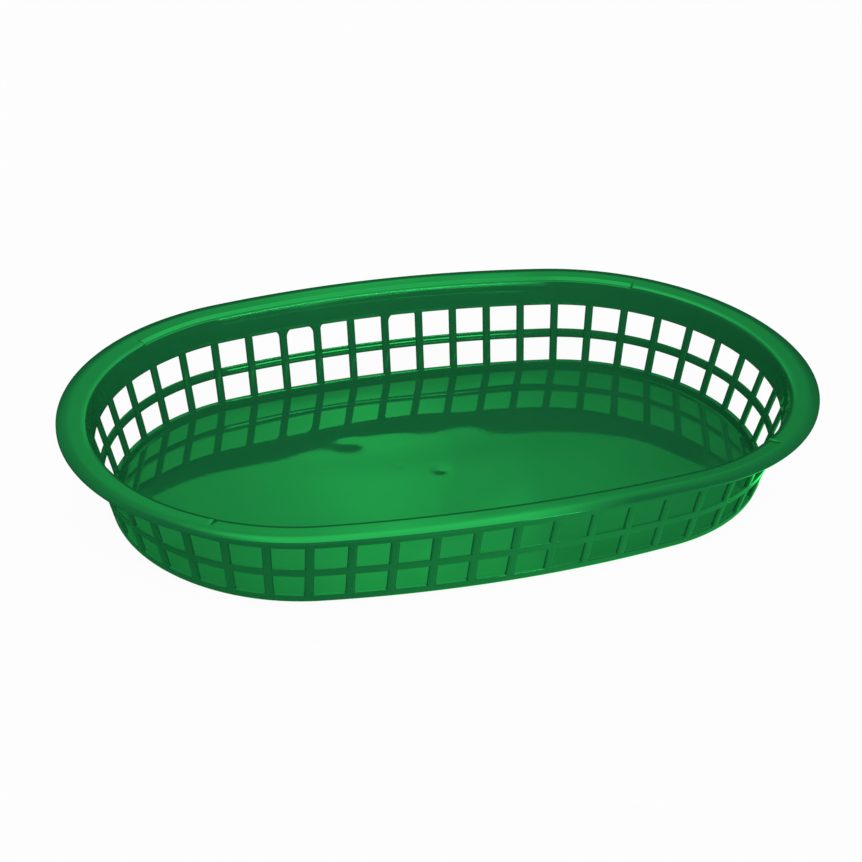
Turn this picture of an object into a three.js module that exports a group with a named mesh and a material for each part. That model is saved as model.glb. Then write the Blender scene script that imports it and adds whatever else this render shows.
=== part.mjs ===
// Oval food basket with an open lattice wall and a rolled-out rim.
// Millimetres, +Z up. The base stands on Z = 0, the long axis is X, the centre of the oval is the origin.
import * as THREE from "three";

// Plan of the wall, along the middle of its thickness, at half the height of the upper holes
const wallLength = 246.8;
const wallWidth = 150.2;
const sideBow = 4.2; // how far the middle of a long side stands out beyond the reach of the end arcs

// Section of the wall
const wallThickness = 1.7;
const wallLean = 0.26; // outward run for each millimetre of height

// Heights, from the table up
const floorThickness = 1.7;
const lowerBandHeight = 1.8;
const lowerHoleHeight = 9;
const midRailHeight = 3.2;
const upperHoleHeight = 9.7;
const upperBandHeight = 7.2;

// Lattice
const barCount = 48;
const barWidth = 3.05;
const railRecess = 0.8; // how far the rail lies behind the inner face of the wall
const railClearance = 0.3; // between a bar's notch and the rail that passes through it

// Rounding under the outer edge of the base
const baseEdgeRadius = 2;

// Rim
const rimReach = 13.1; // outermost edge, beyond the plan of the wall
const rimThickness = 1.5;
const rimInnerRise = 2; // inner edge of the rim's top, above the upper band
const rimOuterRise = 2.6; // outer end of the rim's top, above the upper band
const rimCrown = 0.7; // how far the top bulges above a straight line between the two
const rimInnerRound = 1.3; // run of the rounding from the wall into the rim's top
const rimOuterRound = 2.4; // run of the fillet under the rim
const stepRise = 0.45; // extra height of the end stretches, along their inner half
const stepAngle = THREE.MathUtils.degToRad(54); // place of the step marks, about the centre of each end arc

// Fineness of the curves
const ringSteps = 2 * barCount;
const curveSteps = 4;

// Finish: glossy green plastic
const plasticColour = 0x1c8441;
const plasticRoughness = 0.28;

// Levels that follow from the heights
const lowerBandTop = floorThickness + lowerBandHeight;
const midRailBottom = lowerBandTop + lowerHoleHeight;
const midRailTop = midRailBottom + midRailHeight;
const upperBandBottom = midRailTop + upperHoleHeight;
const upperBandTop = upperBandBottom + upperBandHeight;
const planLevel = midRailTop + upperHoleHeight / 2;

// Four-centre oval: two end arcs about (+-endCentre, 0) and two flatter side arcs, tangent where they meet
const halfWidth = wallWidth / 2;
const endRadius = halfWidth - sideBow;
const endCentre = wallLength / 2 - endRadius;
const sideRadius = (endCentre ** 2 + halfWidth ** 2 - endRadius ** 2) / (2 * sideBow);
const sideCentre = sideRadius - halfWidth;
const sideHalfAngle = Math.atan2(endCentre, sideCentre);
const endArc = endRadius * (Math.PI / 2 - sideHalfAngle);
const quarterLength = endArc + sideRadius * sideHalfAngle;
const perimeter = 4 * quarterLength;

// Point at a distance along the oval, counted anticlockwise from the +X end, and the outward direction there
function ovalStation(distance) {
  const wrapped = THREE.MathUtils.euclideanModulo(distance, perimeter);
  const half = wrapped > perimeter / 2 ? perimeter - wrapped : wrapped;
  const quarter = half > quarterLength ? 2 * quarterLength - half : half;
  const onEnd = quarter < endArc;
  const angle = onEnd ? quarter / endRadius : Math.PI / 2 - (quarterLength - quarter) / sideRadius;
  const radius = onEnd ? endRadius : sideRadius;
  const mirrorX = half > quarterLength ? -1 : 1;
  const mirrorY = wrapped > perimeter / 2 ? -1 : 1;
  const x = (onEnd ? endCentre : 0) + radius * Math.cos(angle);
  const y = (onEnd ? 0 : -sideCentre) + radius * Math.sin(angle);
  return {
    x: mirrorX * x,
    y: mirrorY * y,
    outX: mirrorX * Math.cos(angle),
    outY: mirrorY * Math.sin(angle),
  };
}

// Outward offset of the wall's middle, inner face and outer face from the plan oval at a height
const wallMiddle = (z) => wallLean * (z - planLevel);
const wallInner = (z) => wallMiddle(z) - wallThickness / 2;
const wallOuter = (z) => wallMiddle(z) + wallThickness / 2;

// Vertices of a profile of (offset, height) points carried to each distance along the oval
function carry(profile, distances) {
  return distances.flatMap((distance) => {
    const at = ovalStation(distance);
    return profile.flatMap((p) => [at.x + at.outX * p.x, at.y + at.outY * p.x, p.y]);
  });
}

// Triangles of the skin between neighbouring stations, for a profile that runs anticlockwise
function skin(points, stations, closedPath, closedProfile) {
  const triangles = [];
  const spans = closedPath ? stations : stations - 1;
  const edges = closedProfile ? points : points - 1;
  for (let i = 0; i < spans; i++) {
    for (let j = 0; j < edges; j++) {
      const a = i * points + j;
      const b = i * points + ((j + 1) % points);
      const d = ((i + 1) % stations) * points + j;
      const c = ((i + 1) % stations) * points + ((j + 1) % points);
      triangles.push(a, d, c, a, c, b);
    }
  }
  return triangles;
}

function solid(vertices, triangles) {
  const geometry = new THREE.BufferGeometry();
  geometry.setAttribute("position", new THREE.Float32BufferAttribute(vertices, 3));
  geometry.setIndex(triangles);
  geometry.computeVertexNormals();
  return geometry;
}

// Distances of equal steps right round the oval
const roundTheOval = Array.from({ length: ringSteps }, (_, i) => (i * perimeter) / ringSteps);

// A closed ring: the profile carried right round
function ring(profile) {
  return solid(carry(profile, roundTheOval), skin(profile.length, ringSteps, true, true));
}

// A stretch of ring between two distances, closed by a flat cap at each end
function stretch(profile, from, to) {
  const steps = Math.max(1, Math.round(((to - from) * ringSteps) / perimeter));
  const distances = Array.from({ length: steps + 1 }, (_, i) => from + ((to - from) * i) / steps);
  const last = steps * profile.length;
  const caps = THREE.ShapeUtils.triangulateShape(profile, []).flatMap(([a, b, c]) => [
    a, b, c, last + c, last + b, last + a,
  ]);
  return solid(carry(profile, distances), [...skin(profile.length, steps + 1, false, true), ...caps]);
}

// A full plate: an outline profile from its lower edge up to its upper edge, closed by a fan below and above
function plate(profile) {
  const vertices = carry(profile, roundTheOval);
  const triangles = skin(profile.length, ringSteps, true, false);
  const top = profile.length - 1;
  const lowCentre = vertices.length / 3;
  const highCentre = lowCentre + 1;
  vertices.push(0, 0, profile[0].y, 0, 0, profile[top].y);
  for (let i = 0; i < ringSteps; i++) {
    const here = i * profile.length;
    const next = ((i + 1) % ringSteps) * profile.length;
    triangles.push(lowCentre, next, here, highCentre, here + top, next + top);
  }
  return solid(vertices, triangles);
}

// Flat bottom; its outer edge is rounded by an arc that meets the table and the leaning outer face
function floorGeometry() {
  const slope = Math.hypot(1, wallLean);
  const arcEnd = -Math.atan(wallLean);
  const radius = Math.min(baseEdgeRadius, floorThickness / (1 + Math.sin(arcEnd)));
  const centre = wallOuter(radius) - radius * slope;
  const edge = new THREE.Path();
  edge.absarc(centre, radius, radius, -Math.PI / 2, arcEnd, false);
  edge.lineTo(wallOuter(floorThickness), floorThickness);
  return plate(edge.getPoints(curveSteps));
}

// A strip of the leaning wall between two heights, from an inner offset rule to the outer face
function bandGeometry(bottom, top, innerFace) {
  return ring([
    new THREE.Vector2(innerFace(bottom), bottom),
    new THREE.Vector2(wallOuter(bottom), bottom),
    new THREE.Vector2(wallOuter(top), top),
    new THREE.Vector2(innerFace(top), top),
  ]);
}

// The rail is thinner than the wall and lies along its outer face
const railInner = (z) => wallInner(z) + railRecess;

// An upright bar with a notch in its outer face for the rail
function barGeometry() {
  const notchFloor = (z) => railInner(z) - railClearance;
  const side = new THREE.Shape();
  side.moveTo(wallInner(lowerBandTop), lowerBandTop);
  side.lineTo(wallOuter(lowerBandTop), lowerBandTop);
  side.lineTo(wallOuter(midRailBottom), midRailBottom);
  side.lineTo(notchFloor(midRailBottom), midRailBottom);
  side.lineTo(notchFloor(midRailTop), midRailTop);
  side.lineTo(wallOuter(midRailTop), midRailTop);
  side.lineTo(wallOuter(upperBandBottom), upperBandBottom);
  side.lineTo(wallInner(upperBandBottom), upperBandBottom);
  const geometry = new THREE.ExtrudeGeometry(side, { depth: barWidth, bevelEnabled: false });
  geometry.translate(0, 0, -barWidth / 2);
  geometry.rotateX(Math.PI / 2);
  return geometry;
}

// Section of the rim: up from the wall, over a crowned top, round the outer edge and back underneath
function rimProfile(innerLift) {
  const innerEdge = wallInner(upperBandTop) + rimInnerRound;
  const innerTop = upperBandTop + rimInnerRise + innerLift;
  const outerEdge = rimReach - rimThickness / 2;
  const outerTop = upperBandTop + rimOuterRise;
  const middle = (innerEdge + outerEdge) / 2;
  const crownTop = upperBandTop + (rimInnerRise + rimOuterRise) / 2 + 2 * rimCrown;
  const underStart = wallOuter(upperBandTop) + rimOuterRound;
  const underside = upperBandTop + rimInnerRise + rimCrown - rimThickness;
  const section = new THREE.Path();
  section.moveTo(innerEdge, innerTop);
  section.quadraticCurveTo(wallInner(upperBandTop), innerTop, wallInner(upperBandTop), upperBandTop);
  section.lineTo(wallOuter(upperBandTop), upperBandTop);
  section.quadraticCurveTo(wallOuter(upperBandTop), underside, underStart, underside);
  section.lineTo(outerEdge, outerTop - rimThickness);
  section.absarc(outerEdge, outerTop - rimThickness / 2, rimThickness / 2, -Math.PI / 2, Math.PI / 2, false);
  section.quadraticCurveTo(middle, crownTop, innerEdge, innerTop);
  return section.getPoints(curveSteps).slice(0, -1);
}

const basket = new THREE.Group();

function add(name, geometry) {
  const material = new THREE.MeshStandardMaterial({
    color: plasticColour,
    roughness: plasticRoughness,
    metalness: 0,
  });
  const mesh = new THREE.Mesh(geometry, material);
  mesh.name = name;
  basket.add(mesh);
  return mesh;
}

add("floor_plate", floorGeometry());
add("lower_band", bandGeometry(floorThickness, lowerBandTop, wallInner));
add("mid_rail", bandGeometry(midRailBottom, midRailTop, railInner));
add("upper_band", bandGeometry(upperBandBottom, upperBandTop, wallInner));

for (let i = 0; i < barCount; i++) {
  const at = ovalStation((i * perimeter) / barCount);
  const bar = add(`bar_${String(i + 1).padStart(2, "0")}`, barGeometry());
  bar.position.set(at.x, at.y, 0);
  bar.rotation.z = Math.atan2(at.outY, at.outX);
}

// The rim's four stretches meet at the step marks
const stepDistance = endRadius * stepAngle;
const halfWay = perimeter / 2;
add("rim_right_end", stretch(rimProfile(stepRise), -stepDistance, stepDistance));
add("rim_back", stretch(rimProfile(0), stepDistance, halfWay - stepDistance));
add("rim_left_end", stretch(rimProfile(stepRise), halfWay - stepDistance, halfWay + stepDistance));
add("rim_front", stretch(rimProfile(0), halfWay + stepDistance, perimeter - stepDistance));

export default basket;
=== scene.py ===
import math

import bpy
import numpy as np
from mathutils import Matrix, Vector


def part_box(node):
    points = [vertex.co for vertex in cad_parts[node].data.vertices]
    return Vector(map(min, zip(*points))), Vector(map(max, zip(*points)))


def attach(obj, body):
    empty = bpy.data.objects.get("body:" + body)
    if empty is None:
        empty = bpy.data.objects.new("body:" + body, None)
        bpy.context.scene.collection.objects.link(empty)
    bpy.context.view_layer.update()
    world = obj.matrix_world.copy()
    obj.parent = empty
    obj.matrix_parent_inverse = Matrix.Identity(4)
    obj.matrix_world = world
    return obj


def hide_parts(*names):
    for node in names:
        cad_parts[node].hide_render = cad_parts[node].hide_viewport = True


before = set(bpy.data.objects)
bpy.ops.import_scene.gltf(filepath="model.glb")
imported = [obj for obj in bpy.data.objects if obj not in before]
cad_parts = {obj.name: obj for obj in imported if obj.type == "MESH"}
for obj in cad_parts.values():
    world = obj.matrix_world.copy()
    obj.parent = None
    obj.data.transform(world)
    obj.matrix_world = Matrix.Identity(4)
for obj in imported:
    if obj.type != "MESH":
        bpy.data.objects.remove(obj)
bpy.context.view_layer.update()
mm = 0.001  # shapes are worked out in millimetres and go into the meshes in metres
print("frame:", len(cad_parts), "nodes")


# Low and high corners of a node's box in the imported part, in mm
def boxOf(node):
    low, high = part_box(node)
    return np.array(low) / mm, np.array(high) / mm


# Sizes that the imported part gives. bar_01 stands square on the +X end, so its box gives the bar's width and, less
# the lean, the wall's thickness.
floorTop = boxOf("floor_plate")[1][2]
lowerHigh = boxOf("lower_band")[1]
railLow, railHigh = boxOf("mid_rail")
upperLow, upperHigh = boxOf("upper_band")
barLow, barHigh = boxOf("bar_01")
rimHigh = boxOf("rim_right_end")[1]
lowerTop = lowerHigh[2]
railBottom, railTop = railLow[2], railHigh[2]
upperBottom, upperTop = upperLow[2], upperHigh[2]
wallLean = (upperHigh[0] - lowerHigh[0]) / (upperTop - lowerTop)
wallThick = barHigh[0] - barLow[0] - wallLean * (barHigh[2] - barLow[2])
barWidth = barHigh[1] - barLow[1]
barCount = sum(name.startswith("bar_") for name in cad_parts)
planLevel = (railTop + upperBottom) / 2

# The oval that everything follows, along the middle of the wall at planLevel
oval = {
    "sideBow": 4.2,  # mm, how far the middle of a long side stands out beyond the reach of the end arcs
    "warp": 0.93,    # mm at the rim: as it cooled, the long sides rose and the ends sank this much
}
planInset = wallLean * (upperTop - planLevel) + wallThick / 2
halfLength = upperHigh[0] - planInset
halfWidth = upperHigh[1] - planInset
rimReach = rimHigh[0] - halfLength
endRadius = halfWidth - oval["sideBow"]
endCentre = halfLength - endRadius
sideRadius = (endCentre**2 + halfWidth**2 - endRadius**2) / (2 * oval["sideBow"])
sideCentre = sideRadius - halfWidth
sideHalfAngle = math.atan2(endCentre, sideCentre)
endArc = endRadius * (math.pi / 2 - sideHalfAngle)
quarterLength = endArc + sideRadius * sideHalfAngle
perimeter = 4 * quarterLength

detail = {
    "around": 384,     # points round the oval
    "sharp": 40.0,     # degrees, edges that turn more than this are shaded as edges
    "sameSpot": 1e-5,  # mm, points nearer than this are one
}
allRound = np.arange(detail["around"]) * perimeter / detail["around"]


# Four-centre oval by distance along it from the +X end: on an end arc the angle is distance over radius, on a side
# arc it is counted back from the middle of the side. Gives the points and the outward directions.
def ovalAt(distance):
    wrapped = np.mod(distance, perimeter)
    half = np.where(wrapped > perimeter / 2, perimeter - wrapped, wrapped)
    quarter = np.where(half > quarterLength, 2 * quarterLength - half, half)
    onEnd = quarter < endArc
    angle = np.where(onEnd, quarter / endRadius, math.pi / 2 - (quarterLength - quarter) / sideRadius)
    flip = np.stack([np.where(half > quarterLength, -1, 1), np.where(wrapped > perimeter / 2, -1, 1)], -1)
    outward = flip * np.stack([np.cos(angle), np.sin(angle)], -1)
    centre = flip * np.stack([np.where(onEnd, endCentre, 0), np.where(onEnd, 0, -sideCentre)], -1)
    return centre + outward * np.where(onEnd, endRadius, sideRadius)[..., None], outward


# Height after the warp: a wave of two periods round the oval that grows with height
def warped(distance, height):
    return height - oval["warp"] * height / upperTop * np.cos(4 * math.pi * distance / perimeter)


# Profile carried along the oval: each profile point moves out from the oval by its offset and up by its height
def carried(profile, distances):
    at, outward = ovalAt(distances)
    flat = at[:, None] + outward[:, None] * profile[None, :, :1]
    height = warped(distances[:, None], np.broadcast_to(profile[None, :, 1], flat.shape[:2]))
    return np.concatenate([flat, height[..., None]], -1)


# Offsets of the wall's two faces from the oval: the lean times the height above planLevel, and half the thickness
def wallInner(height):
    return wallLean * (height - planLevel) - wallThick / 2


def wallOuter(height):
    return wallLean * (height - planLevel) + wallThick / 2


# Closed loop through corners, each turned by an arc of its radius: the arc runs between the two tangent points, by
# spherical interpolation about its centre, and the straights between arcs are divided evenly
def roundedLoop(corners, radii, arcSteps=5, straightSteps=4):
    corners, radii = np.array(corners, float), np.array(radii, float)[:, None]
    back, ahead = np.roll(corners, 1, 0) - corners, np.roll(corners, -1, 0) - corners
    back /= np.linalg.norm(back, axis=1, keepdims=True)
    ahead /= np.linalg.norm(ahead, axis=1, keepdims=True)
    halfTurn = np.arccos(np.clip((back * ahead).sum(1, keepdims=True), -1, 1)) / 2
    bisector = (back + ahead) / np.linalg.norm(back + ahead, axis=1, keepdims=True)
    centre = corners + bisector * radii / np.sin(halfTurn)
    start, end = corners + back * radii / np.tan(halfTurn), corners + ahead * radii / np.tan(halfTurn)
    sweep = math.pi - 2 * halfTurn[:, None]
    share = np.linspace(0, 1, arcSteps + 1)[None, :, None]
    fromStart = np.sin((1 - share) * sweep) * (start - centre)[:, None]
    fromEnd = np.sin(share * sweep) * (end - centre)[:, None]
    arcs = centre[:, None] + (fromStart + fromEnd) / np.sin(sweep)
    share = np.linspace(0, 1, straightSteps + 2)[None, 1:-1, None]
    straights = end[:, None] * (1 - share) + np.roll(start, -1, 0)[:, None] * share
    loop = np.concatenate([arcs, straights], 1).reshape(-1, 2)
    return loop[np.linalg.norm(loop - np.roll(loop, 1, 0), axis=1) > detail["sameSpot"]]


# Quads of a grid of rows by columns, wrapped round where it closes
def gridQuads(rows, columns, closedRows, closedColumns):
    i = np.arange(rows if closedRows else rows - 1)[:, None]
    j = np.arange(columns if closedColumns else columns - 1)[None, :]
    below, right = (i + 1) % rows, (j + 1) % columns
    quads = [i * columns + j, below * columns + j, below * columns + right, i * columns + right]
    return np.stack(np.broadcast_arrays(*quads), -1).reshape(-1, 4)


# Faces of a solid whose rows are closed loops: quads from row to row, and one face over each end
def tubeFaces(rows, around):
    ends = [list(range(around)), list(range(rows * around - 1, (rows - 1) * around - 1, -1))]
    return gridQuads(rows, around, False, True).tolist() + ends


# A finished piece: stands for its node, rides with the basket and takes the green plastic. A piece that is drawn
# along the rim also carries how far each point lies along it and round its section.
def addPiece(name, node, points, faces, material, along=None):
    mesh = bpy.data.meshes.new(name)
    mesh.from_pydata(points.reshape(-1, 3) * mm, [], faces)
    mesh.shade_smooth()
    mesh.set_sharp_from_angle(angle=math.radians(detail["sharp"]))
    if along is not None:
        layer = mesh.attributes.new("alongRim", "FLOAT_VECTOR", "POINT")
        layer.data.foreach_set("vector", (along * mm).astype(np.float32).ravel())
    mesh.materials.append(material)
    piece = bpy.data.objects.new(name, mesh)
    bpy.context.scene.collection.objects.link(piece)
    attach(piece, "root")
    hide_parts(node)


# Linear colour of an sRGB hex, by the standard's straight foot and power curve
def linear(hexColour):
    srgb = np.array([int(hexColour[i:i + 2], 16) for i in (1, 3, 5)]) / 255
    rgb = np.where(srgb <= 0.04045, srgb / 12.92, ((srgb + 0.055) / 1.055) ** 2.4)
    return (*map(float, rgb), 1.0)


# Node tree of a material or world, emptied
def emptied(owner):
    owner.use_nodes = True
    owner.node_tree.nodes.clear()
    return owner.node_tree


# Adds a node, sets its sockets or properties, and links its inputs
def addNode(tree, kind, settings={}, links={}):
    node = tree.nodes.new(kind)
    for key, value in settings.items():
        if isinstance(key, int) or key in node.inputs:
            node.inputs[key].default_value = value
        else:
            setattr(node, key, value)
    for key, source in links.items():
        tree.links.new(source, node.inputs[key])
    return node


# Texture scale for features of a size in mm
def perMetre(size):
    return 1 / (size * mm)


# Polypropylene, injection moulded in a polished steel tool: an even dark green right through, a near mirror gloss,
# and a faint unevenness where the melt shrank and flowed
plastic = {
    "deepHex": "#11522d",
    "paleHex": "#145c32",
    "ior": 1.5,
    "roughness": (0.02, 0.06),
    "flowSize": 38,           # mm, cloudy patches in the colour and the gloss
    "flowRange": (0.3, 0.7),  # of the cloud, over which the gloss changes
    "peelSize": 2.2,          # mm, orange peel left by the tool's polish
    "peelDepth": 0.004,       # mm
    "streakSize": (60, 1.4),  # mm along the rim and across it, streaks of the melt
    "streakDepth": 2.0,       # times the peel's
}


def mouldedPolypropylene(name, drawn):
    material = bpy.data.materials.new(name)
    tree = emptied(material)
    spot = addNode(tree, "ShaderNodeTexCoord").outputs["Object"]
    flowScale, peelScale = perMetre(plastic["flowSize"]), perMetre(plastic["peelSize"])
    flow = addNode(tree, "ShaderNodeTexNoise", {"Scale": flowScale, "Detail": 3.0}, {"Vector": spot}).outputs["Fac"]
    deep, pale = linear(plastic["deepHex"]), linear(plastic["paleHex"])
    colour = addNode(tree, "ShaderNodeMix", {"data_type": "RGBA", 6: deep, 7: pale}, {0: flow})
    (lowFlow, highFlow), (low, high) = plastic["flowRange"], plastic["roughness"]
    rough = addNode(tree, "ShaderNodeMapRange",
                    {"From Min": lowFlow, "From Max": highFlow, "To Min": low, "To Max": high}, {"Value": flow})
    peel = addNode(tree, "ShaderNodeTexNoise", {"Scale": peelScale, "Detail": 1.0}, {"Vector": spot})
    height = peel.outputs["Fac"]
    if drawn:
        length, width = plastic["streakSize"]
        along = addNode(tree, "ShaderNodeAttribute", {"attribute_name": "alongRim"}).outputs["Vector"]
        stretched = addNode(tree, "ShaderNodeMapping",
                            {"vector_type": "POINT", "Scale": (perMetre(length), perMetre(width), 1.0)},
                            {"Vector": along}).outputs["Vector"]
        streaks = addNode(tree, "ShaderNodeTexNoise", {"Scale": 1.0, "Detail": 2.0}, {"Vector": stretched})
        height = addNode(tree, "ShaderNodeMath", {"operation": "MULTIPLY_ADD", 1: plastic["streakDepth"]},
                         {0: streaks.outputs["Fac"], 2: height}).outputs[0]
    bump = addNode(tree, "ShaderNodeBump", {"Strength": 1.0, "Distance": plastic["peelDepth"] * mm},
                   {"Height": height})
    shader = addNode(tree, "ShaderNodeBsdfPrincipled", {"IOR": plastic["ior"]},
                     {"Base Color": colour.outputs[2], "Roughness": rough.outputs["Result"],
                      "Normal": bump.outputs["Normal"]})
    addNode(tree, "ShaderNodeOutputMaterial", {}, {"Surface": shader.outputs["BSDF"]})
    return material


wallPlastic = mouldedPolypropylene("moulded polypropylene", False)
rimPlastic = mouldedPolypropylene("moulded polypropylene, drawn along the rim", True)
print("materials:", len(bpy.data.materials))

# Floor: flat below, slowly uneven above where it shrank, and square to the wall
floor = {
    "gate": (-0.8, 0.8),  # mm, where the melt came in
    "gateDepth": 0.3,     # mm
    "gateSpread": 2.6,    # mm
    "sink": 0.35,         # mm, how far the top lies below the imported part's
    "tuck": 0.3,          # mm, how far the top runs under the wall
    "edgeRound": 2.0,     # mm, under the outer edge
    "edgeSide": 0.01,     # mm, least height of the side left above that
    "edgePoints": 9,
    # mm: x, y, spread along x, spread along y, height
    "waves": [(-24, 59.5, 41, 10, 0.27), (50, 61.5, 20, 10, 0.3), (-18, 19, 20, 18, -0.26),
              (3, 22, 59, 17, -0.59), (80, -6.5, 35, 22, -0.29), (93, 15, 48, 45, -0.6)],
    "dents": [(-42, 19, 11, 7, -0.055), (-28.5, 27.4, 6, 4.2, -0.085), (-14, 8, 2, 2, -0.02),
              (20, 33, 8, 7, 0.05), (2, 34, 8, 7, -0.04)],
    # rings, by the share of the way out from the gate: first, last and how many
    "topRings": [(0.004, 0.06, 12), (0.075, 1, 64)],
    "bottomRings": [(0.97, 0.1, 12), (0.06, 0.004, 8)],
    "circleToOval": (0.06, 0.56),  # shares between which a ring goes from a circle to the oval
}


# Height of the floor's top: bell-shaped rises and dips, one for each wave, each sink mark and the gate
def floorTopAt(x, y):
    height = floorTop - floor["sink"] + 0 * x
    gateDip = (*floor["gate"], floor["gateSpread"], floor["gateSpread"], -floor["gateDepth"])
    for midX, midY, spreadX, spreadY, rise in floor["waves"] + floor["dents"] + [gateDip]:
        height = height + rise * np.exp(-((x - midX) / spreadX) ** 2 - ((y - midY) / spreadY) ** 2)
    return height


# Rings round the gate: small ones are circles, large ones are the oval scaled, out to where the top runs under the
# wall; then the profile of the outer edge, and rings back to the middle underneath
def floorPoints():
    gate = np.array(floor["gate"])
    turn = 2 * math.pi * allRound / perimeter
    circle = halfWidth * np.stack([np.cos(turn), np.sin(turn)], -1)
    at, outward = ovalAt(allRound)
    lean = math.atan(wallLean)
    radius = min(floor["edgeRound"], (floorTop - floor["edgeSide"]) / (1 - math.sin(lean)))
    centre = wallOuter(radius) - radius * math.hypot(1, wallLean)

    def rings(runs, edge):
        share = np.concatenate([np.linspace(*run) for run in runs])[:, None, None]
        blend = np.interp(share, floor["circleToOval"], (0, 1))
        return gate * (1 - share) + share * (circle * (1 - blend) + (at + outward * edge) * blend)

    top = rings(floor["topRings"], wallInner(floorTop) + floor["tuck"])
    top = np.concatenate([top, floorTopAt(top[..., 0], top[..., 1])[..., None]], -1)
    roundOff = np.linspace(-lean, -math.pi / 2, floor["edgePoints"])
    under = np.stack([centre + radius * np.cos(roundOff), radius + radius * np.sin(roundOff)], -1)
    side = carried(np.concatenate([[[wallOuter(floorTop), floorTop]], under]), allRound).transpose(1, 0, 2)
    bottom = rings(floor["bottomRings"], centre)
    bottom = np.concatenate([bottom, np.zeros(bottom.shape[:2] + (1,))], -1)
    return np.concatenate([top, side, bottom]).transpose(1, 0, 2)


points = floorPoints()
steps, columns = points.shape[:2]
faces = gridQuads(steps, columns, True, False)[:, ::-1].tolist()
poles = np.array([[*floor["gate"], floorTopAt(*np.array(floor["gate"]))], [*floor["gate"], 0]])
topPole, bottomPole = steps * columns, steps * columns + 1
here, ahead = np.arange(steps) * columns, (np.arange(steps) + 1) % steps * columns
faces += np.stack([here * 0 + topPole, here, ahead], -1).tolist()
faces += np.stack([here * 0 + bottomPole, ahead + columns - 1, here + columns - 1], -1).tolist()
addPiece("basketFloor", "floor_plate", np.concatenate([points.reshape(-1, 3), poles]), faces, wallPlastic)
print("floor:", len(faces), "faces")

# Wall rings
wall = {
    "edge": 0.22,         # mm, rounding along the edges of the holes
    "sillEdge": 0.3,      # mm, rounding along the inner edge of the sill
    "tuck": 0.5,          # mm, how far one member runs into the next, out of sight
    "footInset": (0.3, 0.9),  # mm, the foot of the lower band inside the wall's inner and outer face
    "footStep": 0.1,      # mm, slant of the foot at its inner face
    "headInset": 0.3,     # mm, the head of the upper band inside both faces
    "seamRound": 0.02,    # mm, rounding where a face runs on into the next member's
    "footRound": 0.03,    # mm, rounding at the inner side of the foot
    "hiddenRound": 0.05,  # mm, rounding of the other hidden corners
    "railRidge": 0.4,     # mm, ridge along the inner face of the rail
    "ridgeRound": 4.5,    # mm, radius along the ridge
    "railRound": 0.2,     # mm, rounding along the inner edges of the rail
    "railRecess": 0.8,    # mm, rail behind the inner faces of the bars
    "railInset": 0.06,    # mm, rail behind the outer faces of the bands
    "inset": 0.04,        # mm, bars lie this much inside the faces of the bands
}


# A ring round the whole oval, from the corners of its section: offset, height and radius, anticlockwise
def addRing(name, node, corners):
    corners = np.array(corners)
    profile = roundedLoop(corners[:, :2], corners[:, 2])
    faces = gridQuads(len(allRound), len(profile), True, True).tolist()
    addPiece(name, node, carried(profile, allRound), faces, wallPlastic)


foot = wall["tuck"]
footIn, footOut = wall["footInset"]
addRing("basketLowerBand", "lower_band", [
    (wallInner(foot) + footIn, foot, wall["footRound"]),
    (wallOuter(foot) - footOut, foot, wall["hiddenRound"]),
    (wallOuter(floorTop), floorTop, wall["seamRound"]),
    (wallOuter(lowerTop), lowerTop, wall["edge"]),
    (wallInner(lowerTop), lowerTop, wall["sillEdge"]),
    (wallInner(foot), foot + wall["footStep"], wall["footRound"]),
])
ridge = (railBottom + railTop) / 2
addRing("basketMidRail", "mid_rail", [
    (wallInner(railBottom) + wall["railRecess"], railBottom, wall["railRound"]),
    (wallOuter(railBottom) - wall["railInset"], railBottom, wall["edge"]),
    (wallOuter(railTop) - wall["railInset"], railTop, wall["edge"]),
    (wallInner(railTop) + wall["railRecess"], railTop, wall["railRound"]),
    (wallInner(ridge) + wall["railRecess"] - wall["railRidge"], ridge, wall["ridgeRound"]),
])
head = upperTop + wall["tuck"]
addRing("basketUpperBand", "upper_band", [
    (wallInner(upperBottom), upperBottom, wall["edge"]),
    (wallOuter(upperBottom), upperBottom, wall["edge"]),
    (wallOuter(upperTop), upperTop, wall["seamRound"]),
    (wallOuter(head) - wall["headInset"], head, wall["hiddenRound"]),
    (wallInner(head) + wall["headInset"], head, wall["hiddenRound"]),
    (wallInner(upperTop), upperTop, wall["seamRound"]),
])
print("bands: 3 rings")

# Bars
bar = {
    "corners": (0.75, 0.8),  # mm, rounding down the edges of a bar, inside and outside
    "crown": 0.12,           # mm, bulge of the inner face
    "flare": 0.25,           # mm, radius in the corners of the holes
    "overlap": 0.9,          # mm, run into the bands, out of sight
    "plain": (1.0, 3.0),     # mm from the lower and the upper band, clear of the corners of the holes
    "rows": (7, 6),          # of points along each corner, and between them
    # mm, wider corners at the head of some bars, on either side
    "webs": {12: (1.0, 0.25), 13: (0.25, 2.4), 15: (2.8, 1.6), 16: (2.2, 2.8)},
}


# Width gained near the bands: a quarter circle in each corner of the holes, whole where the bar runs into a band
def flareAt(heights, headRadius):
    push = 0 * heights
    for radius, gap in ((bar["flare"], heights - lowerTop), (headRadius, upperBottom - heights)):
        near = np.clip(radius - gap, 0, radius)
        push = push + radius - np.sqrt(radius**2 - near**2)
    return push


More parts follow.
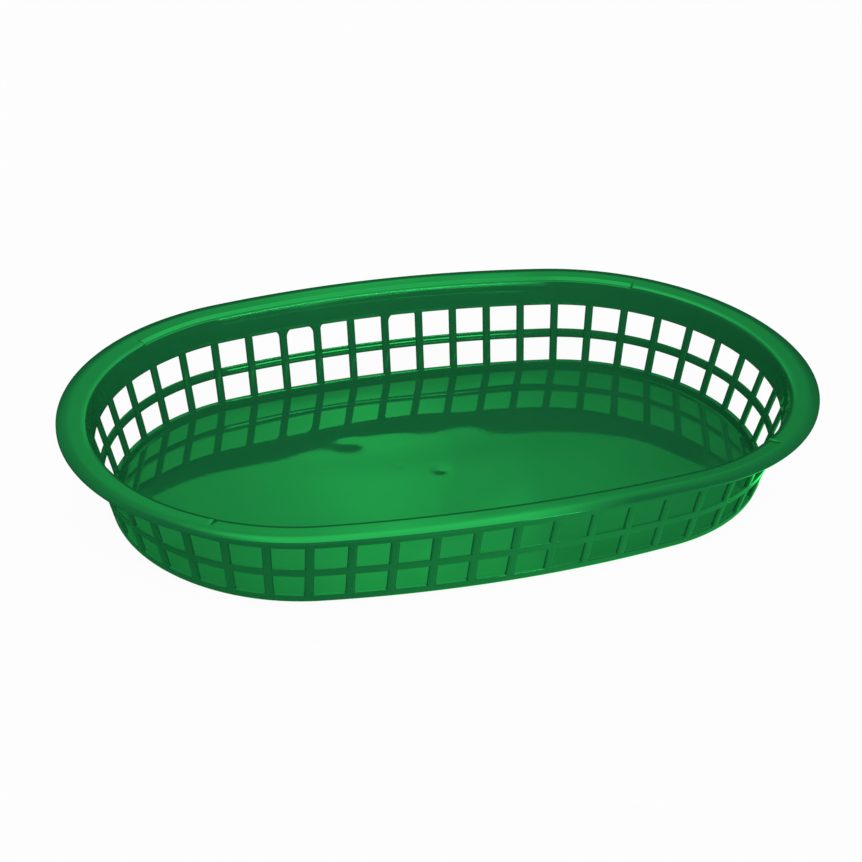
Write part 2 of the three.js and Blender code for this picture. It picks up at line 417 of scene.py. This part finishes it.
# Bar: a rounded section (across, through) carried up the leaning wall; each side is pushed out by its own flare
def barPoints(number):
    distance = (number - 1) * perimeter / barCount
    heads = bar["webs"].get(number, (bar["flare"], bar["flare"]))
    half, deep = barWidth / 2, wallThick / 2 - wall["inset"]
    inside, outside = bar["corners"]
    section = roundedLoop([(-half, -deep), (-half, deep), (half, deep), (half, -deep)],
                          [inside, outside, outside, inside], arcSteps=4, straightSteps=3)
    cornerRows, plainRows = bar["rows"]
    ease = 1 - np.cos(np.linspace(0, math.pi / 2, cornerRows))
    plainLow, plainHigh = lowerTop + bar["plain"][0], upperBottom - bar["plain"][1]
    heights = np.concatenate([
        [lowerTop - bar["overlap"]], lowerTop + bar["flare"] * ease, np.linspace(plainLow, plainHigh, plainRows),
        upperBottom - max(heads) * ease[::-1], [upperBottom + bar["overlap"]]])
    push = np.stack([flareAt(heights, head) for head in heads], -1)
    across = section[None, :, 0] * (1 + np.where(section[None, :, 0] > 0, push[:, :1], push[:, 1:]) / half)
    crown = np.where(section[:, 1] < 0, bar["crown"] * (1 - (across / half) ** 2), 0)
    through = wallLean * (heights[:, None] - planLevel) + section[:, 1] - crown
    at, outward = ovalAt(np.array([distance]))
    sideways = np.stack([-outward[:, 1], outward[:, 0]], -1)
    flat = at + outward * through[..., None] + sideways * across[..., None]
    height = warped(distance, np.broadcast_to(heights[:, None], across.shape))
    return np.concatenate([flat, height[..., None]], -1)


for number in range(1, barCount + 1):
    points = barPoints(number)
    faces = [face[::-1] for face in tubeFaces(*points.shape[:2])]
    addPiece(f"basketBar{number:02d}", f"bar_{number:02d}", points, faces, wallPlastic)
print("bars:", barCount)

# Rim
rim = {
    "outerRise": 2.5,    # mm, outer edge of the top above the upper band
    # how steeply the top rises, by the share of the way out from the wall: its outer part, and the inner part of
    # each stretch
    "slopes": [(0.55, 0.11), (0.64, 0.02), (0.72, -0.08), (0.85, -0.17), (1.0, -0.3)],
    "inner": {
        "front": [(0.05, 0.62), (0.085, 0.56), (0.11, 0.3), (0.19, 0.26), (0.25, 0.12)],
        "left": [(0.05, 0.62), (0.085, 0.56), (0.11, 0.3), (0.19, 0.26), (0.25, 0.12)],
        "right": [(0.16, 0.35), (0.22, 0.28), (0.29, 0.12)],
        "back": [(0.0, -0.04), (0.15, -0.04), (0.18, 0.62), (0.28, 0.62), (0.31, 0.12)],
    },
    "innerRound": {"front": 1.0, "left": 1.0, "right": 2.4, "back": 0.6},  # mm, radius from the wall into the top
    "thick": 1.2,        # mm
    "edge": 0.25,        # mm, rounding of the lip's two edges
    "underRound": 1.2,   # mm, radius from the wall to the underside
    "stepRise": 0.15,    # mm, end stretches stand this much higher along their inner half
    "stepFade": (0.15, 0.65),  # shares of the way out, between which the inner half fades
    "stepAngle": 54.0,   # degrees about the centre of each end arc, place of the step marks
    "markDepth": 0.25,   # mm, nick across the inner half at each step
    "markWidth": 0.5,    # mm, on either side
    "spacing": 1.5,      # mm, of the sections along the rim
    "points": {"top": 60, "inner": 9, "under": 30, "wall": 8, "lip": 11},  # along each part of the section
}


# Heights of the rim's top at offsets from the lip inwards: its slopes added up from the lip
def rimTop(offset, share, slopes):
    slope = np.interp(share, *zip(*slopes))
    climb = (slope[1:] + slope[:-1]) / 2 * np.diff(offset)
    return upperTop + rim["outerRise"] + np.concatenate([[0], np.cumsum(climb)])


# Section of the rim, anticlockwise: up the outer face, out along the underside, round the lip, back over the top and
# down the inner face. With it, how far each point belongs to the inner half of the top, from nothing to 1.
def rimProfile(stretch):
    slopes, innerRound = rim["inner"][stretch] + rim["slopes"], rim["innerRound"][stretch]
    count, thick, edge, underRound = rim["points"], rim["thick"], rim["edge"], rim["underRound"]
    inner, outer = wallInner(upperTop), wallOuter(upperTop)
    lip = rimReach - edge
    slope, lean = math.atan(slopes[0][1]), math.atan(wallLean)
    last = inner + innerRound
    for attempt in range(4):  # the top ends where the round touches both it and the wall's face
        offset = np.linspace(lip, last, count["top"])
        share = (offset - inner) / (lip - inner)
        top = rimTop(offset, share, slopes)
        centreHeight = top[-1] - innerRound * math.cos(slope)
        last = wallInner(centreHeight) + innerRound * (1 / math.cos(lean) - math.sin(slope))
    centre = offset[-1] + innerRound * math.sin(slope)
    turn = np.linspace(slope, math.pi / 2 - lean, count["inner"])[1:]
    innerArc = np.stack([centre - innerRound * np.sin(turn), centreHeight + innerRound * np.cos(turn)], -1)
    run = np.linspace(outer + underRound, lip, count["under"])
    under = np.stack([run, np.interp(run, offset[::-1], top[::-1]) - thick], -1)
    turn = np.linspace(0, math.pi / 2, count["wall"])[:-1]
    wallArc = under[0] - underRound * np.stack([np.cos(turn), 1 - np.sin(turn)], -1)
    turn = np.linspace(-math.pi / 2, math.pi / 2, count["lip"])[1:-1]
    square = np.sign(np.arange(len(turn)) - len(turn) // 2) * (thick / 2 - edge)
    lipArc = np.stack([lip + edge * np.cos(turn), top[0] - thick / 2 + square + edge * np.sin(turn)], -1)
    foot = np.array([[inner, upperTop], [outer, upperTop]])
    profile = np.concatenate([foot, wallArc, under, lipArc, np.stack([offset, top], -1), innerArc])
    fade = np.interp(share, rim["stepFade"], (1, 0))
    innerHalf = np.concatenate([fade * fade * (3 - 2 * fade), np.linspace(1, 0, len(innerArc))])
    return profile, np.concatenate([np.zeros(len(profile) - len(innerHalf)), innerHalf])


# A stretch of rim: the section carried along, its inner half lifted all the way and nicked at both ends
def addRim(stretch, node, start, end, lift):
    profile, innerHalf = rimProfile(stretch)
    nick = rim["markWidth"] * np.array([0, 0.5, 1])
    spacing = rim["spacing"]
    between = np.linspace(start + spacing, end - spacing, round((end - start) / spacing))
    distances = np.concatenate([start + nick, between, end - nick[::-1]])
    points = carried(profile, distances)
    away = np.minimum(distances - start, end - distances)
    points[..., 2] += innerHalf * (lift - rim["markDepth"] * np.clip(1 - away / rim["markWidth"], 0, 1))[:, None]
    length = np.concatenate([[0], np.cumsum(np.linalg.norm(np.diff(profile, axis=0), axis=1))])
    along = np.stack(np.broadcast_arrays(distances[:, None], length[None], 0), -1)
    faces = tubeFaces(*points.shape[:2])
    addPiece("basketRim" + stretch.capitalize(), node, points, faces, rimPlastic, along)


stepAt = endRadius * math.radians(rim["stepAngle"])
addRim("right", "rim_right_end", -stepAt, stepAt, rim["stepRise"])
addRim("back", "rim_back", stepAt, perimeter / 2 - stepAt, 0)
addRim("left", "rim_left_end", perimeter / 2 - stepAt, perimeter / 2 + stepAt, rim["stepRise"])
addRim("front", "rim_front", perimeter / 2 + stepAt, perimeter - stepAt, 0)
print("rim: 4 stretches")

# Stage: a pale floor that shows white and keeps a light shadow, and what the gloss sees. The photo's gloss is green
# all through, so that is tinted.
stage = {
    "floorHex": "#d2d2d0",
    "floorReach": 4.0,      # m, to each side
    "floorGap": 0.0001,     # m, so that the floor and the underside don't share a plane
    "gapRays": 0.0004,      # m, rays that meet the floor sooner than this start within the gap
    "shadowShare": 0.05,    # how much of the floor's own shading the camera sees
    "glossHex": "#38ff71",
    # the floor's painted light and shade as the gloss sees it, with a painted bright strip from 118 to 128: mm along
    # X, level
    "glossFloor": [
        (-123, 0.25), (-94, 0.5), (-76, 0.5), (-57, 0.6), (-40, 0.95), (-30, 1.15), (-4, 1.3), (17, 1.45),
        (33, 1.6), (48, 1.4), (75, 1.1), (95, 0.9), (108, 0.9), (118, 3.5), (128, 3.5), (140, 0.1)],
    # painted shade behind the basket: towards +Y the floor's gloss glow falls to this factor
    "glossBefore": [(-10, 1), (20, 0.15)],  # mm along Y, and a factor on that
    "domeRadius": 0.45,     # m, of the dome that stands for the room in the gloss
    "domeParts": (72, 24),  # round it and up
    "domeTop": 89.95,       # degrees, all but closed
    # the dome: degrees from +Y to +X, level
    "glossAround": [
        (-70, 0.2), (-35, 0.6), (-20, 1.3), (0, 2.6), (6, 3.3), (10, 4.0), (13, 4.4), (15, 4.3), (17.5, 3.85),
        (19, 3.7), (19.7, 3.2), (21, 3.1), (25, 2.9), (28, 2.5), (36, 2.2), (46, 1.6), (70, 0.3)],
    # degrees of elevation, and a factor on that
    "glossUp": [
        (0, 0.02), (17, 0.03), (20, 0.1), (23, 0.22), (26, 0.36), (27.5, 0.48), (29, 0.56), (31, 0.63),
        (35, 0.67), (36.5, 0.6), (38, 0.68), (42, 0.72), (44, 0.85), (48, 0.85), (52, 0.5), (56, 0.3),
        (62, 0.2), (78, 0.15), (90, 0.15)],
    # lamps overhead and in front: level, and by each axis of the direction the middle, half width and soft edge
    "glossLamps": [
        (6, {"X": (0.08, 0.2, 0.22), "Y": (0.3, 0.1, 0.3)}),
        (45, {"X": (0.315, 0.05, 0.015), "Y": (-0.62, 0.08, 0.03)}),
        (0.6, {"X": (0.31, 0.06, 0.04), "Y": (0.71, 0.03, 0.03)}),
        (16, {"X": (0.32, 0.08, 0.03), "Y": (-0.95, 0.25, 0.1), "Z": (0.26, 0.06, 0.03)})],
    "glossBelow": 1.0,      # level of what the gloss of the underside sees
    "ambient": (0.55, 2.4),     # levels of the daylight from behind, and from the front
    "front": (0, -0.97, 0.25),  # direction of the front
    "frontFull": 0.75,      # cosine from it, within which the daylight is whole
    "softbox": 1.7,         # W
    "softboxSize": (1.2, 0.9),         # m
    "softboxPlace": (-0.2, 0.1, 1.1),  # m
}


# Level by steps of a value, straight from one step to the next
def addSteps(tree, value, steps):
    first, last = steps[0][0], steps[-1][0]
    share = addNode(tree, "ShaderNodeMapRange", {"From Min": first, "From Max": last}, {"Value": value})
    ramp = addNode(tree, "ShaderNodeValToRGB", {}, {"Fac": share.outputs["Result"]})
    marks = ramp.color_ramp.elements
    for step, level in steps[1:-1]:
        marks.new((step - first) / (last - first))
    for mark, (step, level) in zip(marks, steps):
        mark.color = (level, level, level, 1)
    return ramp.outputs["Color"]


paper = bpy.data.materials.new("matt white paper")
tree = emptied(paper)
ray = addNode(tree, "ShaderNodeLightPath").outputs
spot = addNode(tree, "ShaderNodeTexCoord").outputs["Object"]
axes = addNode(tree, "ShaderNodeSeparateXYZ", {}, {0: spot}).outputs
factors = [addSteps(tree, axes[axis], [(step * mm, level) for step, level in steps])
           for axis, steps in (("X", stage["glossFloor"]), ("Y", stage["glossBefore"]))]
glossLevel = addNode(tree, "ShaderNodeMath", {"operation": "MULTIPLY"}, {0: factors[0], 1: factors[1]}).outputs[0]
matt = addNode(tree, "ShaderNodeBsdfDiffuse", {"Color": linear(stage["floorHex"])})
white = addNode(tree, "ShaderNodeEmission", {"Strength": 1.0})
seen = addNode(tree, "ShaderNodeMixShader", {0: stage["shadowShare"]}, {1: white.outputs[0], 2: matt.outputs[0]})
# For gloss rays the floor glows with painted light and shade, set by place on it
tinted = addNode(tree, "ShaderNodeEmission", {"Color": linear(stage["glossHex"])}, {"Strength": glossLevel})
plain = addNode(tree, "ShaderNodeMixShader", {},
                {0: ray["Is Camera Ray"], 1: matt.outputs[0], 2: seen.outputs[0]})
full = addNode(tree, "ShaderNodeMixShader", {},
               {0: ray["Is Glossy Ray"], 1: plain.outputs[0], 2: tinted.outputs[0]})
# From below, and for rays that start within the gap, there is no floor, so the underside is seen and lit
fromBelow = addNode(tree, "ShaderNodeNewGeometry").outputs["Backfacing"]
inGap = addNode(tree, "ShaderNodeMath", {"operation": "LESS_THAN", 1: stage["gapRays"]}, {0: ray["Ray Length"]})
noFloor = addNode(tree, "ShaderNodeMath", {"operation": "MAXIMUM"}, {0: fromBelow, 1: inGap.outputs[0]})
clear = addNode(tree, "ShaderNodeBsdfTransparent")
oneSided = addNode(tree, "ShaderNodeMixShader", {},
                   {0: noFloor.outputs[0], 1: full.outputs[0], 2: clear.outputs[0]})
addNode(tree, "ShaderNodeOutputMaterial", {}, {"Surface": oneSided.outputs[0]})
floorMesh = bpy.data.meshes.new("stageFloor")
reach, gap = stage["floorReach"], stage["floorGap"]
corners = [(-reach, -reach, -gap), (reach, -reach, -gap), (reach, reach, -gap), (-reach, reach, -gap)]
floorMesh.from_pydata(corners, [], [(0, 1, 2, 3)])
floorMesh.materials.append(paper)
stageFloor = bpy.data.objects.new("stageFloor", floorMesh)
bpy.context.scene.collection.objects.link(stageFloor)

# Dome that only the gloss sees, painted by the direction from the middle of the basket
room = bpy.data.materials.new("room seen in the gloss")
tree = emptied(room)
spot = addNode(tree, "ShaderNodeTexCoord").outputs["Object"]
way = addNode(tree, "ShaderNodeVectorMath", {"operation": "NORMALIZE"}, {0: spot}).outputs["Vector"]
axes = addNode(tree, "ShaderNodeSeparateXYZ", {}, {0: way}).outputs
around = addNode(tree, "ShaderNodeMath", {"operation": "ARCTAN2"}, {0: axes["X"], 1: axes["Y"]})
upward = addNode(tree, "ShaderNodeMath", {"operation": "ARCSINE"}, {0: axes["Z"]})
factors = [addSteps(tree, angle.outputs[0], [(math.radians(step), level) for step, level in steps])
           for angle, steps in ((around, stage["glossAround"]), (upward, stage["glossUp"]))]
glossLevel = addNode(tree, "ShaderNodeMath", {"operation": "MULTIPLY"}, {0: factors[0], 1: factors[1]}).outputs[0]
for strength, extents in stage["glossLamps"]:
    insides = []
    for axis, (middle, half, soft) in extents.items():
        off = addNode(tree, "ShaderNodeMath", {"operation": "SUBTRACT", 1: middle}, {0: axes[axis]})
        away = addNode(tree, "ShaderNodeMath", {"operation": "ABSOLUTE"}, {0: off.outputs[0]})
        inside = addNode(tree, "ShaderNodeMapRange",
                         {"interpolation_type": "SMOOTHSTEP", "From Min": half, "From Max": half + soft,
                          "To Min": 1.0, "To Max": 0.0}, {"Value": away.outputs[0]})
        insides.append(inside.outputs["Result"])
    glow = insides[0]
    for inside in insides[1:]:
        glow = addNode(tree, "ShaderNodeMath", {"operation": "MULTIPLY"}, {0: glow, 1: inside}).outputs[0]
    glossLevel = addNode(tree, "ShaderNodeMath", {"operation": "MULTIPLY_ADD", 1: strength},
                         {0: glow, 2: glossLevel}).outputs[0]
tinted = addNode(tree, "ShaderNodeEmission", {"Color": linear(stage["glossHex"])}, {"Strength": glossLevel})
addNode(tree, "ShaderNodeOutputMaterial", {}, {"Surface": tinted.outputs[0]})
turns, rises = stage["domeParts"]
turn = np.radians(np.linspace(0, 360, turns, endpoint=False))
rise = np.radians(np.linspace(0, stage["domeTop"], rises))[:, None]
points = np.stack(np.broadcast_arrays(
    np.cos(rise) * np.sin(turn), np.cos(rise) * np.cos(turn), np.sin(rise)), -1).reshape(-1, 3)
domeMesh = bpy.data.meshes.new("glossDome")
domeMesh.from_pydata(points * stage["domeRadius"], [], gridQuads(rises, turns, False, True).tolist())
domeMesh.materials.append(room)
dome = bpy.data.objects.new("glossDome", domeMesh)
dome.visible_camera = dome.visible_diffuse = dome.visible_transmission = dome.visible_shadow = False
bpy.context.scene.collection.objects.link(dome)

# Daylight, stronger from the front; the camera sees white and the gloss its tint
world = bpy.data.worlds.new("studio")
bpy.context.scene.world = world
tree = emptied(world)
ray = addNode(tree, "ShaderNodeLightPath").outputs
way = addNode(tree, "ShaderNodeTexCoord").outputs["Generated"]
toFront = addNode(tree, "ShaderNodeVectorMath", {"operation": "DOT_PRODUCT", 1: stage["front"]}, {0: way})
low, high = stage["ambient"]
fill = addNode(tree, "ShaderNodeMapRange",
               {"interpolation_type": "SMOOTHSTEP", "From Min": 0.0, "From Max": stage["frontFull"],
                "To Min": low, "To Max": high}, {"Value": toFront.outputs["Value"]})
soft = addNode(tree, "ShaderNodeBackground", {}, {"Strength": fill.outputs["Result"]})
white = addNode(tree, "ShaderNodeBackground", {"Strength": 1.0})
tinted = addNode(tree, "ShaderNodeBackground",
                 {"Color": linear(stage["glossHex"]), "Strength": stage["glossBelow"]})
plain = addNode(tree, "ShaderNodeMixShader", {},
                {0: ray["Is Camera Ray"], 1: soft.outputs[0], 2: white.outputs[0]})
full = addNode(tree, "ShaderNodeMixShader", {},
               {0: ray["Is Glossy Ray"], 1: plain.outputs[0], 2: tinted.outputs[0]})
addNode(tree, "ShaderNodeOutputWorld", {}, {"Surface": full.outputs[0]})

softbox = bpy.data.lights.new("softbox", "AREA")
softbox.shape, softbox.energy = "RECTANGLE", stage["softbox"]
softbox.size, softbox.size_y = stage["softboxSize"]
softboxObject = bpy.data.objects.new("softbox", softbox)
softboxObject.location = stage["softboxPlace"]
softboxObject.visible_glossy = False
bpy.context.scene.collection.objects.link(softboxObject)
print("stage: floor, dome, world and softbox")

# Camera at the photo's viewing angle
view = {
    "azimuth": -0.3305, "elevation": 0.5345, "roll": 0.0392,  # radians
    "distance": 703.49, "shiftRight": -4.357, "shiftUp": 14.692, "lift": 0.8,  # mm
    "lens": 81.17, "sensor": 36.0,  # mm
    "clipStart": 0.01,  # m
}
az, el, roll = view["azimuth"], view["elevation"], view["roll"]
back = Vector((math.sin(az) * math.cos(el), -math.cos(az) * math.cos(el), math.sin(el)))
right = (-back).cross(Vector((0, 0, 1))).normalized()
up = back.cross(right)
right, up = math.cos(roll) * right + math.sin(roll) * up, math.cos(roll) * up - math.sin(roll) * right
eye = back * view["distance"] + right * view["shiftRight"] + up * view["shiftUp"] + Vector((0, 0, view["lift"]))
camera = bpy.data.cameras.new("camera")
camera.lens, camera.sensor_width, camera.sensor_fit = view["lens"], view["sensor"], "HORIZONTAL"
camera.clip_start = view["clipStart"]
cameraObject = bpy.data.objects.new("camera", camera)
cameraObject.matrix_world = Matrix.Translation(eye * mm) @ Matrix((right, up, back)).transposed().to_4x4()
bpy.context.scene.collection.objects.link(cameraObject)
bpy.context.scene.camera = cameraObject
bpy.context.scene.view_settings.view_transform = "Standard"
print("camera: in place")
